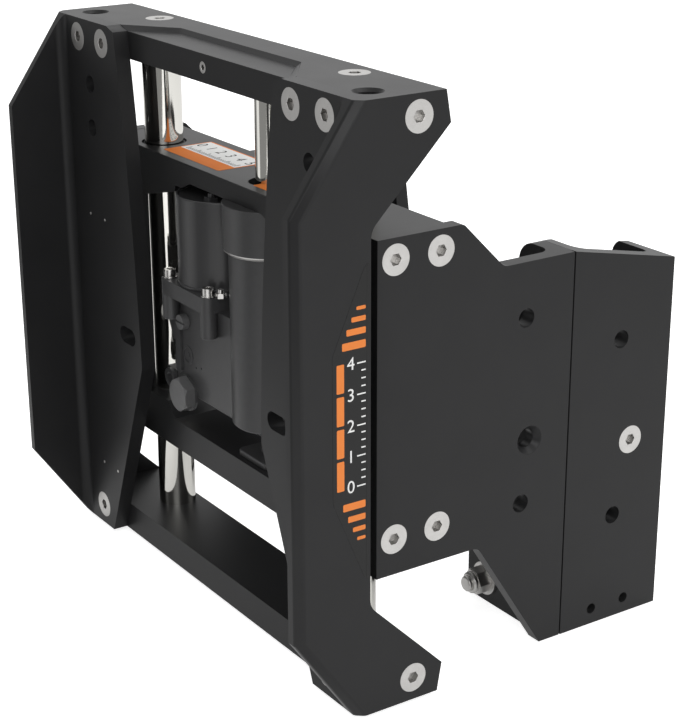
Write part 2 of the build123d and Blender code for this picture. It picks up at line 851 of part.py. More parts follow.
with BuildPart() as joint_nuts:
    with BuildSketch(Plane.XZ.offset(-nut_face_y)):
        with Locations(*joint_places):
            RegularPolygon(hex_across_flats / 2, 6, major_radius=False)
    extrude(amount=nut_h)
    with BuildSketch(Plane.XZ.offset(-nut_face_y + nut_h)):
        with Locations(*joint_places):
            Circle(nut_collar_r)
    extrude(amount=nut_collar_h)
    chamfer(joint_nuts.faces().sort_by(Axis.Y)[:4].edges(), nut_chamfer)
    with BuildSketch(Plane.XZ.offset(-nut_face_y)):
        with Locations(*joint_places):
            Circle(bolt_r)
    extrude(amount=nut_h + nut_collar_h, mode=Mode.SUBTRACT)
joint_nuts.part.label = "joint_nuts"
export_step(joint_nuts.part, "parts/joint_nuts.step")


# Tie bar between the extension webs
with BuildPart() as cross_tie:
    with BuildSketch(Plane.YZ.offset(-plate_in)):
        with Locations((tie_y, tie_z)):
            Circle(tie_r)
    extrude(amount=2 * plate_in)
    with Locations(Plane.YZ.offset(plate_in)):
        with Locations((tie_y, tie_z)):
            Hole(bolt_r, depth=screw_length - plate_t)
    with Locations(Plane(origin=(-plate_in, 0, 0), x_dir=(0, -1, 0), z_dir=(-1, 0, 0))):
        with Locations((-tie_y, tie_z)):
            Hole(bolt_r, depth=screw_length - plate_t)
cross_tie.part.label = "cross_tie"
export_step(cross_tie.part, "parts/cross_tie.step")

with BuildPart() as tie_screws:
    with Locations(Plane.YZ.offset(plate_out)):
        with Locations((tie_y, tie_z)):
            add(flat_screw.part)
    mirror(about=Plane.YZ)
tie_screws.part.label = "tie_screws"
export_step(tie_screws.part, "parts/tie_screws.step")


# Motor can: drawn steel cup with a rolled rim on the pump flange
with BuildPart() as motor_can:
    with Locations((motor_x, rod_y, motor_bottom)):
        Cylinder(motor_r, motor_top - motor_bottom, align=(Align.CENTER, Align.CENTER, Align.MIN))
        Cylinder(motor_r + can_rim, can_rim_h, align=(Align.CENTER, Align.CENTER, Align.MIN))
    chamfer(motor_can.edges().sort_by(Axis.Z)[-1], can_lip / 2)
    with Locations((motor_x, rod_y, motor_top)):
        Cylinder(
            motor_r - can_lip,
            can_sink,
            align=(Align.CENTER, Align.CENTER, Align.MAX),
            mode=Mode.SUBTRACT,
        )
motor_can.part.label = "motor_can"
export_step(motor_can.part, "parts/motor_can.step")

with BuildPart() as motor_terminals:
    with Locations(
        (motor_x + terminal_out, rod_y - terminal_out, motor_top - can_sink),
        (motor_x + terminal_out, rod_y + terminal_out, motor_top - can_sink),
    ):
        Box(terminal_w, terminal_w, terminal_h, align=(Align.CENTER, Align.CENTER, Align.MIN))
        Cylinder(stud_r, stud_h, align=(Align.CENTER, Align.CENTER, Align.MIN))
motor_terminals.part.label = "motor_terminals"
export_step(motor_terminals.part, "parts/motor_terminals.step")

# One of the four columns that hold the motor's screws
with BuildPart() as flange_column:
    Cylinder(column_r, body_top - column_bottom, align=(Align.CENTER, Align.CENTER, Align.MIN))
    chamfer(flange_column.edges().sort_by(Axis.Z)[0], edge_break)

# Pump housing: body beside the ram, motor flange on four screw columns, gusset and rib at port
with BuildPart() as pump_housing:
    with BuildSketch(Plane.XY.offset(pump_bottom)):
        with Locations(((pump_side + ram_x) / 2, (pump_front + pump_back) / 2)):
            RectangleRounded(ram_x - pump_side, pump_back - pump_front, pump_corner)
    extrude(amount=body_top - pump_bottom)
    chamfer(pump_housing.faces().sort_by(Axis.Z)[0].edges(), pump_chamfer)
    with BuildSketch(Plane.XY.offset(body_top)):
        with Locations((motor_x, rod_y)):
            RectangleRounded(2 * flange_half, 2 * flange_half, column_r - 0.1)
    extrude(amount=motor_bottom - body_top)
    with Locations((motor_x, rod_y, column_bottom)):
        with GridLocations(2 * cap_screw_reach, 2 * cap_screw_reach, 2, 2):
            add(flange_column.part)
    with BuildSketch(Plane.XZ.offset(-pump_front - port_boss_depth)):
        with BuildLine():
            Polyline(
                (gusset_x, body_top),
                (gusset_x, gusset_z),
                (pump_side, gusset_z - 2 * (pump_side - gusset_x)),
                (motor_x, gusset_z),
                (motor_x, body_top),
                close=True,
            )
        make_face()
        with Locations(port_place):
            Rectangle(2 * port_boss_r, 2 * port_boss_r)
    extrude(amount=port_boss_depth)
    with BuildSketch(Plane.XZ.offset(-pump_front - port_boss_depth)):
        with Locations(port_place):
            Circle(port_boss_r)
    extrude(amount=port_boss_depth + port_boss_h)
    with BuildSketch(Plane.XZ.offset(-pump_front)):
        with Locations(plug_place):
            Circle(plug_boss_r)
    extrude(amount=plug_boss_h)
    with BuildSketch(Plane.XZ.offset(-pump_front)):
        with Locations(rib_place):
            SlotOverall(rib_length, rib_w, rotation=90)
    extrude(amount=rib_h)
    with BuildSketch(Plane.XZ.offset(-pump_front)):
        with Locations(mark_place):
            Circle(mark_r)
            Circle(mark_r - mark_line, mode=Mode.SUBTRACT)
            Circle(mark_r / 3)
    extrude(amount=mark_h)
    with Locations(Plane.XZ.offset(-pump_front)):
        with Locations(*pin_marks):
            Hole(pin_mark_r, depth=pin_mark_depth)
    with Locations(Plane.XZ.offset(-pump_front + port_boss_h)):
        with Locations(port_place):
            CounterBoreHole(port_r, port_thread_r, port_thread_depth, depth=port_depth)
    with Locations((ram_x, rod_y, pump_bottom)):
        Cylinder(
            ram_tube_r,
            body_top - pump_bottom,
            align=(Align.CENTER, Align.CENTER, Align.MIN),
            mode=Mode.SUBTRACT,
        )
pump_housing.part.label = "pump_housing"
export_step(pump_housing.part, "parts/pump_housing.step")

# Ram tube with its closed end, which carries the two clevis ears
with BuildPart() as ram_tube:
    with Locations((ram_x, rod_y, pump_bottom)):
        Cylinder(ram_tube_r, ram_head_bottom - pump_bottom, align=(Align.CENTER, Align.CENTER, Align.MIN))
    chamfer(ram_tube.edges().sort_by(Axis.Z)[0], pump_chamfer)
    with Locations((ram_x, rod_y, tube_floor)):
        Cylinder(
            ram_bore_r,
            ram_head_bottom - tube_floor,
            align=(Align.CENTER, Align.CENTER, Align.MIN),
            mode=Mode.SUBTRACT,
        )
    for ear_x in (ram_x - ear_gap / 2 - ear_t, ram_x + ear_gap / 2):
        with BuildSketch(Plane.YZ.offset(ear_x)) as ear:
            with BuildLine():
                Polyline(
                    (rod_y - ear_half, pump_bottom + 1),
                    (rod_y - foot_eye_r, clevis_low),
                    (rod_y + foot_eye_r, clevis_low),
                    (rod_y + ear_half, pump_bottom + 1),
                    close=True,
                )
            make_face()
            fillet(ear.vertices().sort_by(Axis.Y)[:2], ear_corner)
            with Locations((rod_y, clevis_pin_z)):
                Circle(clevis_pin_r, mode=Mode.SUBTRACT)
        extrude(amount=ear_t)
ram_tube.part.label = "ram_tube"
export_step(ram_tube.part, "parts/ram_tube.step")

with BuildPart() as ram_head:
    with Locations((ram_x, rod_y, upper_arch_z)):
        Cylinder(ram_head_r, upper_arch_z - ram_head_bottom, align=(Align.CENTER, Align.CENTER, Align.MAX))
    chamfer(ram_head.edges().sort_by(Axis.Z)[0], head_chamfer)
    with Locations((ram_x, rod_y, upper_arch_z)):
        Cylinder(
            ram_rod_r + rod_gap,
            upper_arch_z - ram_head_bottom,
            align=(Align.CENTER, Align.CENTER, Align.MAX),
            mode=Mode.SUBTRACT,
        )
        Hole(ram_rod_r + rod_gap)
    with Locations((ram_x, rod_y, ram_head_bottom)):
        Cylinder(
            ram_bore_r,
            gland_bottom - ram_head_bottom,
            align=(Align.CENTER, Align.CENTER, Align.MIN),
            mode=Mode.SUBTRACT,
        )
ram_head.part.label = "ram_head"
export_step(ram_head.part, "parts/ram_head.step")

# Foot bracket on the lower block, its eye between the two ears of the housing
with BuildPart() as ram_foot:
    with BuildSketch(Plane.XY.offset(lower_mid_z)):
        with Locations((ram_x, rod_y)):
            RectangleRounded(foot_length, foot_width, foot_t)
    extrude(amount=foot_t)
    with BuildSketch(Plane.YZ.offset(ram_x - foot_eye_w / 2)):
        with Locations((rod_y, clevis_pin_z)):
            Circle(foot_eye_r)
        with Locations((rod_y, (lower_mid_z + clevis_pin_z) / 2)):
            Rectangle(2 * foot_eye_r, clevis_pin_z - lower_mid_z)
        with Locations((rod_y, clevis_pin_z)):
            Circle(clevis_pin_r, mode=Mode.SUBTRACT)
    extrude(amount=foot_eye_w)
ram_foot.part.label = "ram_foot"
export_step(ram_foot.part, "parts/ram_foot.step")

with BuildPart() as clevis_pin:
    with BuildSketch(Plane.YZ.offset(ram_x - clevis_pin_half)):
        with Locations((rod_y, clevis_pin_z)):
            Circle(clevis_pin_r)
    extrude(amount=2 * clevis_pin_half)
    chamfer(clevis_pin.edges().filter_by(GeomType.CIRCLE), edge_break)
clevis_pin.part.label = "clevis_pin"
export_step(clevis_pin.part, "parts/clevis_pin.step")

# Socket cap screws on the motor flange, with washers under the heads
with BuildPart() as pump_bolts:
    with Locations((motor_x, rod_y, motor_bottom)):
        with GridLocations(2 * cap_screw_reach, 2 * cap_screw_reach, 2, 2):
            Cylinder(cap_washer_r, cap_washer_t, align=(Align.CENTER, Align.CENTER, Align.MIN))
    with Locations((motor_x, rod_y, motor_bottom + cap_washer_t)):
        with GridLocations(2 * cap_screw_reach, 2 * cap_screw_reach, 2, 2):
            Cylinder(cap_head_r, cap_head_h, align=(Align.CENTER, Align.CENTER, Align.MIN))
    with BuildSketch(Plane.XY.offset(motor_bottom + cap_washer_t + cap_head_h)):
        with Locations((motor_x, rod_y)):
            with GridLocations(2 * cap_screw_reach, 2 * cap_screw_reach, 2, 2):
                RegularPolygon(cap_socket_r, 6, major_radius=False)
    extrude(amount=-cap_head_h / 2, mode=Mode.SUBTRACT)
pump_bolts.part.label = "pump_bolts"
export_step(pump_bolts.part, "parts/pump_bolts.step")

with BuildPart() as bleed_screw:
    with BuildSketch(Plane.XY.offset(motor_bottom)):
        with Locations(bleed_place):
            RegularPolygon(bleed_hex_r, 6, major_radius=False)
    extrude(amount=bleed_hex_h)
    with BuildSketch(Plane.XY.offset(motor_bottom + bleed_hex_h)):
        with Locations(bleed_place):
            Circle(bleed_tip_r)
    extrude(amount=bleed_tip_h)
bleed_screw.part.label = "bleed_screw"
export_step(bleed_screw.part, "parts/bleed_screw.step")

# Hex plug of the pump and its round release screw, both on the front
with BuildPart() as port_plug:
    with BuildSketch(Plane.XZ.offset(-pump_front + plug_boss_h)):
        with Locations(plug_place):
            RegularPolygon(plug_half, 6, major_radius=False, rotation=30)
    extrude(amount=plug_h)
    with BuildSketch(Plane.XZ.offset(-pump_front + plug_boss_h)):
        with Locations(plug_place):
            Circle(plug_half + plug_h)
    extrude(amount=plug_h + edge_break, taper=45, mode=Mode.INTERSECT)
port_plug.part.label = "port_plug"
export_step(port_plug.part, "parts/port_plug.step")

with BuildPart() as release_screw:
    with BuildSketch(Plane.XZ.offset(-pump_front)):
        with Locations(release_place):
            Circle(release_r)
    extrude(amount=release_h)
    with BuildSketch(Plane.XZ.offset(-pump_front + release_h)):
        with Locations(release_place):
            Rectangle(2 * release_r, driver_slot_w)
    extrude(amount=-driver_slot_w, mode=Mode.SUBTRACT)
release_screw.part.label = "release_screw"
export_step(release_screw.part, "parts/release_screw.step")
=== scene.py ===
import json
import math

import bmesh
import bpy
from mathutils import Matrix, Vector


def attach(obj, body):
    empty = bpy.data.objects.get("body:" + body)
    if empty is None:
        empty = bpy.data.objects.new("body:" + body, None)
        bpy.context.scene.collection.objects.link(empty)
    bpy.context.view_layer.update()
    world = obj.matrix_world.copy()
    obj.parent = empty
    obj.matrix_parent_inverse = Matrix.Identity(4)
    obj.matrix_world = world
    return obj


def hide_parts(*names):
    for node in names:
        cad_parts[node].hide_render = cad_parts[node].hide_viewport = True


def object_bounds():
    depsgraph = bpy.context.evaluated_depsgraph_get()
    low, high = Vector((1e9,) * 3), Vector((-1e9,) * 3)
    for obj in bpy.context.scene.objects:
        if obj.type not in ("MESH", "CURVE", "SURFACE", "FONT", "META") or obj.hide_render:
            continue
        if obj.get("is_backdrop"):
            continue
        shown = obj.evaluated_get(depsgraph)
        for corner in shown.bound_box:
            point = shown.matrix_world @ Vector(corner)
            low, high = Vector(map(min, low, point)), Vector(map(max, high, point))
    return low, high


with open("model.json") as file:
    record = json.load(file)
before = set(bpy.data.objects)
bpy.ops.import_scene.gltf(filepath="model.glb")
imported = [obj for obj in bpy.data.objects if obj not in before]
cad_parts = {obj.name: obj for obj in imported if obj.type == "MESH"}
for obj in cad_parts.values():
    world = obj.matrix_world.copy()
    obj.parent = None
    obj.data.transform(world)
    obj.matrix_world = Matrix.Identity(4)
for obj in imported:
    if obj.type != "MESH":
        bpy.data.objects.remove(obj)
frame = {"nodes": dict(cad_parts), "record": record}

bl_info = {
    "name": "Jack Plate",
    "version": (1, 0, 0),
    "blender": (4, 5, 0),
    "location": "View3D > Sidebar > Jack Plate",
    "description": "Finishes a hydraulic jack plate: broken edges, metals, paint, stickers and a studio",
    "category": "Add Mesh",
}

MM = 0.001
CAD_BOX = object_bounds()
BODIES = frame["record"]["behaviour"]["bodies"]

MEMBER_NODES = ("port_side_member", "starboard_side_member")
PLATE_NODES = (
    "top_beam",
    "bottom_beam",
    "upper_block",
    "lower_block",
    "port_side_plate",
    "starboard_side_plate",
    "port_extension",
    "starboard_extension",
    "cross_tie",
)
SCREW_NODES = (
    "flange_screws_top",
    "flange_screws_bottom",
    "beam_end_screws",
    "rod_screws_top",
    "rod_screws_bottom",
    "plate_screws",
    "tie_screws",
    "beam_plug",
    "locating_pins",
)
JOINT_NODES = ("joint_bolts", "joint_washers", "joint_nuts", "clevis_pin")
CAP_NODES = ("pump_bolts", "bleed_screw")
ROD_NODES = ("port_guide_rod", "starboard_guide_rod", "ram_rod")
CASTING_NODES = ("pump_housing", "ram_tube", "ram_head", "ram_foot")
PLUG_NODES = ("port_plug", "release_screw")
SEAL_NODES = ("upper_wipers", "lower_wipers", "ram_wiper")
BUSH_NODES = ("upper_bushes", "lower_bushes")

# Edges, in degrees and millimetres: which count as sharp, and which long ones are blended
SHARP = 28.0
SHALLOW = 62.0
LONG_EDGE = 20.0
BLEND_SEGMENTS = 5

# Meshes: how near vertices are merged, in metres, and up to which angle, in degrees, faces are joined
# and edges are shaded smooth
MERGE = 2e-6
PRINT_MERGE = 1e-6
FLAT = 0.4
SMOOTH = 38.0

# Sockets of the screws, whose insides get painted shade: how deep under the head they start and how far
# out they reach, in millimetres, and how much darker the steel is painted there as shade
SOCKET_SKIN = 0.35
SOCKET_REACH = 5.6
SOCKET_PAINTED_SHADE = 0.85

# Painted highlights on the castings' edges: the height of the band at the ram head's lower rim that gets
# bright steel as a painted highlight, in millimetres, the slant of a broken edge that faces down, and
# how much lighter the paint is made there as a painted highlight
RIM_BAND = 6.0
SLANT_LEAST = 0.3
SLANT_MOST = 0.93
DOWNWARD_HIGHLIGHT = 3.0

# How much less rough the small bright screws are than the others
POLISH = 0.16

# The floor: its outline in metres, which ends in front of the object, where the studio is dark, how
# many millimetres it lies under the object, its grey, and how much of its lift metal reflects
FLOOR_OUTLINE = ((8.0, 8.0), (-8.0, 8.0), (-8.0, -0.5), (-0.1, -0.58), (0.5, -1.2), (8.0, -1.3))
FLOOR_GAP = 1.0
FLOOR_GREY = 0.8
FLOOR_GLOSS = 0.4

# The surrounding light: how much the Z of a direction counts beside its Y, and between which values
# of their sum the level goes from the dark front to the bright back
SKY_RISE = 0.6
SKY_DARK = -0.55
SKY_BRIGHT = 0.3

# The softboxes: name, place and width in metres, and the setting that holds the watts
LAMPS = (
    ("top_softbox", (0.5, 0.5, 1.9), 1.6, "top_power"),
    ("key_softbox", (1.36, -1.5, 1.03), 0.9, "key_power"),
    ("side_softbox", (1.9, -0.9, 0.7), 1.2, "side_power"),
    ("front_softbox", (-0.45, -1.6, 0.3), 0.6, "front_power"),
    ("low_softbox", (-0.55, -1.2, -0.12), 0.6, "low_power"),
)

# The camera: the width of its sensor in millimetres and how near and far it sees, in metres
SENSOR = 36.0
NEAR = 0.05
FAR = 50.0

# The wing stickers, in millimetres: fore-and-aft and height on the wing
WING_OUT = 221.0
WING_FILM = (
    (-295.6, 121.0), (-299.5, 118.0), (-325.4, 59.3),
    (-325.3, -47.2), (-299.5, -108.6), (-295.6, -111.5),
)
WING_FILM_CORNER = 2.5
WING_BARS = (
    (-322.0, -39.0, -316.0, -17.0),
    (-322.0, -14.5, -316.0, 6.5),
    (-322.0, 9.0, -316.0, 30.0),
    (-322.0, 32.5, -316.0, 53.0),
    (-317.5, 62.0, -298.5, 67.5),
    (-314.0, 72.0, -298.5, 76.5),
    (-310.0, 81.0, -298.5, 84.5),
    (-306.0, 89.0, -298.5, 91.5),
    (-317.0, -55.0, -298.5, -49.5),
    (-313.0, -64.0, -298.5, -59.5),
    (-309.0, -72.0, -298.5, -68.5),
    (-305.5, -79.0, -298.5, -76.5),
)
WING_BAR_CORNER = 0.8
WING_ZERO = -38.0
WING_STEP = 5.6
WING_TICKS = 16
WING_PER_NUMBER = 4
WING_LONG_TICK = 7.0
WING_TICK_EDGE = -298.5
WING_NUMBER = -310.5
WING_NUMBER_SIZE = 13.0

# The block stickers, in millimetres: across and fore-and-aft on the block's top
BLOCK_TOP = 127.0
LABEL_FILM = (-114.0, -266.5, -25.5, -221.5)
LABEL_FILM_CORNER = 2.0
LABEL_PANEL = (-112.5, -251.0, -27.0, -223.0)
LABEL_PANEL_CORNER = 1.0
SMALL_LABEL = (27.5, -267.5, 96.0, -256.5)
SMALL_LABEL_CORNER = 1.5
LABEL_ZERO = -107.5
LABEL_STEP = 3.05
LABEL_TICKS = 25
LABEL_PER_NUMBER = 5
LABEL_LONG_TICK = 6.0
LABEL_TICK_EDGE = -249.0
LABEL_NUMBER = -234.0
LABEL_NUMBER_SIZE = 14.0

# Ticks of both scales, in millimetres
TICK_HALF_WIDTH = 0.5
SHORT_TICK = 3.5


class Graph:
    """A node tree that is filled from Python expressions"""

    def __init__(self, tree):
        self.tree = tree
        tree.nodes.clear()

    def node(self, kind, settings=None, inputs=None, output=0):
        """Add one node, its settings first, then the values or links of its sockets"""
        made = self.tree.nodes.new(kind)
        for name, value in (settings or {}).items():
            setattr(made, name, value)
        for key, value in (inputs or {}).items():
            if isinstance(value, Wire):
                self.tree.links.new(value.socket, made.inputs[key])
            else:
                made.inputs[key].default_value = value
        return Wire(self, made.outputs[output]) if made.outputs else None

    def mix(self, mask, low, high):
        """Blend two colours by a mask"""
        return self.node("ShaderNodeMix", {"data_type": "RGBA"}, {0: mask, 6: low, 7: high}, output=2)

    def noise(self, coords, scale, detail):
        """Soft noise of about 0 to 1 on the given coordinates"""
        inputs = {"Vector": coords, "Scale": scale, "Detail": detail}
        return self.node("ShaderNodeTexNoise", None, inputs)

    def place(self, scale=(1.0, 1.0, 1.0)):
        """Object coordinates, stretched by a scale"""
        coords = self.node("ShaderNodeTexCoord", output="Object")
        return self.node("ShaderNodeMapping", None, {"Vector": coords, "Scale": scale})

    def bump(self, height, strength, distance):
        """A normal that follows a height, with its depth in metres"""
        inputs = {"Height": height, "Strength": strength, "Distance": distance}
        return self.node("ShaderNodeBump", None, inputs)


class Wire:
    """One socket of a graph, whose arithmetic adds Math nodes"""

    def __init__(self, graph, socket):
        self.graph = graph
        self.socket = socket

    def math(self, operation, first, second):
        """One Math node on two values or links"""
        return self.graph.node("ShaderNodeMath", {"operation": operation}, {0: first, 1: second})

    def __add__(self, other):
        return self.math("ADD", self, other)

    def __radd__(self, other):
        return self.math("ADD", other, self)

    def __sub__(self, other):
        return self.math("SUBTRACT", self, other)

    def __rsub__(self, other):
        return self.math("SUBTRACT", other, self)

    def __mul__(self, other):
        return self.math("MULTIPLY", self, other)

    def __rmul__(self, other):
        return self.math("MULTIPLY", other, self)

    def max(self, other):
        """The greater of two values"""
        return self.math("MAXIMUM", self, other)


def new_finish(name):
    """A material with an empty graph"""
    material = bpy.data.materials.new(name)
    material.use_nodes = True
    return material, Graph(material.node_tree)


def rgba(colour, level=1.0):
    """A colour as a shader takes it, made lighter or darker by a level"""
    return tuple(level * part for part in colour) + (1.0,)


def close_finish(graph, **sockets):
    """End a graph in a Principled shader with the given sockets"""
    inputs = {key.replace("_", " "): value for key, value in sockets.items()}
    shader = graph.node("ShaderNodeBsdfPrincipled", None, inputs)
    graph.node("ShaderNodeOutputMaterial", None, {"Surface": shader})


def anodised_finish(colours):
    """Satin black anodised aluminium: faint cloudiness, fine blasted grain"""
    material, graph = new_finish("black_anodised")
    cloud = graph.noise(graph.place(), scale=26.0, detail=4.0)
    grain = graph.noise(graph.place(), scale=2400.0, detail=2.0)
    dark = rgba(colours.anodised)
    worn = rgba(colours.anodised, 1.35)
    close_finish(
        graph,
        Base_Color=graph.mix(cloud, dark, worn),
        Roughness=0.31 + 0.07 * cloud + 0.06 * grain,
        Specular_IOR_Level=0.2,
        Normal=graph.bump(grain, strength=0.10, distance=0.05 * MM),
    )
    return material


def chrome_finish(colours):
    """Ground and polished hard chrome: very fine rings along the rod"""
    material, graph = new_finish("hard_chrome")
    rings = graph.noise(graph.place((12.0, 12.0, 5200.0)), scale=1.0, detail=2.0)
    close_finish(
        graph,
        Base_Color=rgba(colours.chrome),
        Metallic=1.0,
        Roughness=0.045 + 0.05 * rings,
        Normal=graph.bump(rings, strength=0.03, distance=0.01 * MM),
    )
    return material


def stainless_finish(colours, name="stainless", gloss=0.0, shade=1.0):
    """Bright stainless fasteners: turned grain and light handling marks"""
    material, graph = new_finish(name)
    grain = graph.noise(graph.place(), scale=1300.0, detail=4.0)
    marks = graph.noise(graph.place(), scale=160.0, detail=5.0)
    bright = rgba(colours.stainless, 1.15 * shade)
    dull = rgba(colours.stainless, 0.8 * shade)
    close_finish(
        graph,
        Base_Color=graph.mix(0.5 * marks + 0.5 * grain, bright, dull),
        Metallic=1.0,
        Roughness=0.26 - gloss + 0.14 * marks + 0.06 * grain,
        Normal=graph.bump(grain, strength=0.12, distance=0.03 * MM),
    )
    return material


def casting_finish(name, colour):
    """Dark grey painted casting: orange peel over a fine sand texture"""
    material, graph = new_finish(name)
    sand = graph.noise(graph.place(), scale=900.0, detail=4.0)
    peel = graph.noise(graph.place(), scale=210.0, detail=2.0)
    dark = rgba(colour)
    light = rgba(colour, 1.3)
    close_finish(
        graph,
        Base_Color=graph.mix(peel, dark, light),
        Roughness=0.34 + 0.10 * sand,
        Specular_IOR_Level=0.5,
        Normal=graph.bump(0.6 * peel + 0.4 * sand, strength=0.25, distance=0.12 * MM),
    )
    return material


def motor_finish(colours):
    """Satin black paint on the drawn motor can, with faint drawing lines"""
    material, graph = new_finish("motor_paint")
    lines = graph.noise(graph.place((700.0, 700.0, 4.0)), scale=1.0, detail=2.0)
    peel = graph.noise(graph.place(), scale=320.0, detail=2.0)
    dark = rgba(colours.motor)
    light = rgba(colours.motor, 1.25)
    close_finish(
        graph,
        Base_Color=graph.mix(lines, dark, light),
        Roughness=0.28 + 0.08 * peel,
        Normal=graph.bump(peel, strength=0.12, distance=0.06 * MM),
    )
    return material


def bush_finish(colours):
    """Machined bearing polymer: turning marks and a dry sheen"""
    material, graph = new_finish("bush_polymer")
    turning = graph.noise(graph.place((8.0, 8.0, 2600.0)), scale=1.0, detail=2.0)
    speckle = graph.noise(graph.place(), scale=1300.0, detail=3.0)
    dark = rgba(colours.bush)
    light = rgba(colours.bush, 1.25)
    close_finish(
        graph,
        Base_Color=graph.mix(speckle, dark, light),
        Roughness=0.55 + 0.1 * turning,
        Normal=graph.bump(turning, strength=0.15, distance=0.03 * MM),
    )
    return material


def seal_finish(colours):
    """Moulded wiper rubber: matt, with a fine moulding grain"""
    material, graph = new_finish("wiper_rubber")
    grain = graph.noise(graph.place(), scale=1500.0, detail=3.0)
    dark = rgba(colours.seal)
    bloom = rgba(colours.seal, 1.6)
    close_finish(
        graph,
        Base_Color=graph.mix(grain, dark, bloom),
        Roughness=0.62 + 0.12 * grain,
        Normal=graph.bump(grain, strength=0.2, distance=0.05 * MM),
    )
    return material


def sticker_finish(name, colour, roughness, gloss=0.3):
    """Printed vinyl: a flat colour under a thin, faintly uneven film"""
    material, graph = new_finish(name)
    film = graph.noise(graph.place(), scale=90.0, detail=2.0)
    shade = rgba(colour)
    faded = rgba(colour, 0.93)
    close_finish(
        graph,
        Base_Color=graph.mix(film, shade, faded),
        Roughness=roughness + 0.05 * film,
        Specular_IOR_Level=gloss,
        Normal=graph.bump(film, strength=0.06, distance=0.05 * MM),
    )
    return material


def bevel_edges(body, edges, width, segments):
    """Round some edges of a body"""
    bmesh.ops.bevel(
        body,
        geom=edges,
        offset=width,
        offset_type="OFFSET",
        segments=segments,
        profile=0.5,
        affect="EDGES",
        clamp_overlap=True,
        material=-1,
    )


def broken_edges(node, width, segments=2, blend=0.0):
    """Copy a CAD solid, merge it, and round its sharp edges, and its long shallow ones more widely"""
    mesh = frame["nodes"][node].data.copy()
    mesh.materials.clear()
    body = bmesh.new()
    body.from_mesh(mesh)
    bmesh.ops.remove_doubles(body, verts=body.verts, dist=MERGE)
    bmesh.ops.dissolve_limit(
        body,
        angle_limit=math.radians(FLAT),
        use_dissolve_boundaries=False,
        verts=body.verts,
        edges=body.edges,
        delimit=set(),
    )
    if blend:
        low, high = math.radians(SHARP), math.radians(SHALLOW)
        shallow = [
            edge for edge in body.edges
            if low < edge.calc_face_angle(0.0) < high and edge.calc_length() > LONG_EDGE * MM
        ]
        bevel_edges(body, shallow, blend, BLEND_SEGMENTS)
    if width:
        sharp = [edge for edge in body.edges if edge.calc_face_angle(0.0) > math.radians(SHARP)]
        bevel_edges(body, sharp, width, segments)
    for face in body.faces:
        face.smooth = True
    for edge in body.edges:
        edge.smooth = edge.calc_face_angle(0.0) < math.radians(SMOOTH)
    body.to_mesh(mesh)
    body.free()
    piece = bpy.data.objects.new(node + "_finished", mesh)
    bpy.context.scene.collection.objects.link(piece)
    weighted = piece.modifiers.new("even_faces", "WEIGHTED_NORMAL")
    weighted.keep_sharp = True
    weighted.weight = 100
    return piece


def loose_parts(body):
    """The separate shells of a body, each a set of faces"""
    waiting = set(body.faces)
    while waiting:
        part, front = set(), [waiting.pop()]
        while front:
            face = front.pop()
            part.add(face)
            near = {other for edge in face.edges for other in edge.link_faces} & waiting
            waiting -= near
            front.extend(near)
        yield part


def darken_sockets(piece, material):
    """Paint shade into the inside of each screw's hexagon socket with a darker steel finish"""
    piece.data.materials.append(material)
    body = bmesh.new()
    body.from_mesh(piece.data)
    for screw in loose_parts(body):
        corners = [vertex.co for face in screw for vertex in face.verts]
        low = Vector(min(co[k] for co in corners) for k in range(3))
        high = Vector(max(co[k] for co in corners) for k in range(3))
        span = high - low
        axis = max(range(3), key=lambda k: abs(span[k - 1] - span[k]) + abs(span[k - 2] - span[k]))
        middle = (low + high) / 2
        for face in screw:
            spot = face.calc_center_median()
            off = spot - middle
            off[axis] = 0.0
            inside = min(spot[axis] - low[axis], high[axis] - spot[axis]) > SOCKET_SKIN * MM
            if inside and off.length < SOCKET_REACH * MM:
                face.material_index = 1
    body.to_mesh(piece.data)
    body.free()


def body_name(node):
    """The name of the body that carries a node"""
    return next(name for name, nodes in BODIES.items() if node in nodes)


def fit(piece, node, material):
    """Let a finished piece stand for its node"""
    piece.data.materials.append(material)
    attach(piece, body_name(node))
    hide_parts(node)


def finish_nodes(nodes, width, material, segments=2, blend=0.0):
    """Finish a group of like nodes"""
    for node in nodes:
        fit(broken_edges(node, width, segments, blend), node, material)


